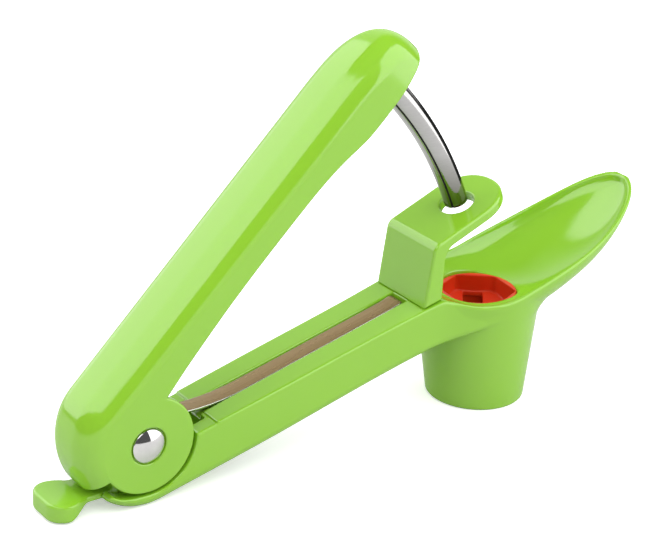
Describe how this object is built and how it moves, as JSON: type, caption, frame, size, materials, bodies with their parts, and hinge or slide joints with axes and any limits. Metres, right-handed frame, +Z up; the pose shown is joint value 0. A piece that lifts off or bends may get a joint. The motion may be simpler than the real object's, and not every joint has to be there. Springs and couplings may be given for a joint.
{
  "type": "olive pitter",
  "caption": "Hand-held olive pitter: a sprung lever handle drives a curved rod through a guide and a silicone seat in a cup with a scoop-shaped feeding bowl.",
  "frame": {"origin": "on the table under the middle of the tool's bounding box, tool resting on its heel and cup with the handle open", "axes": "+X from the hinge towards the scoop's tip, +Y across the tool, +Z up"},
  "size_m": [0.1888, 0.036, 0.1122],
  "materials": {
    "green_plastic": "glossy",
    "slide_plastic": "glossy",
    "red_silicone": "satin",
    "rod_steel": "polished",
    "rivet_steel": "polished",
    "spring_steel": "brushed"
  },
  "bodies": {
    "base": {"lower_arm": "green_plastic", "rod_guide": "green_plastic", "silicone_insert": "red_silicone", "leaf_spring": "spring_steel", "hinge_rivet": "rivet_steel", "hinge_rivet_cap": "rivet_steel", "hinge_sleeve": "spring_steel"},
    "handle": {"upper_handle": "green_plastic", "plunger_rod": "rod_steel"},
    "lock": {"lock_slide": "slide_plastic"}
  },
  "joints": [
    {"name": "handle_pivot", "type": "hinge", "parent": "base", "child": "handle", "pos_m": [-0.06875, 0, 0.0173], "axis": [0, 1, 0], "range_deg": [0, 24.3], "stiffness_Nm_per_rad": 0.4, "springref_deg": -28.65, "deforming": ["leaf_spring"]},
    {"name": "lock_pull", "type": "slide", "parent": "base", "child": "lock", "axis": [-1, 0, 0], "range_m": [0, 0.0035]}
  ]
}
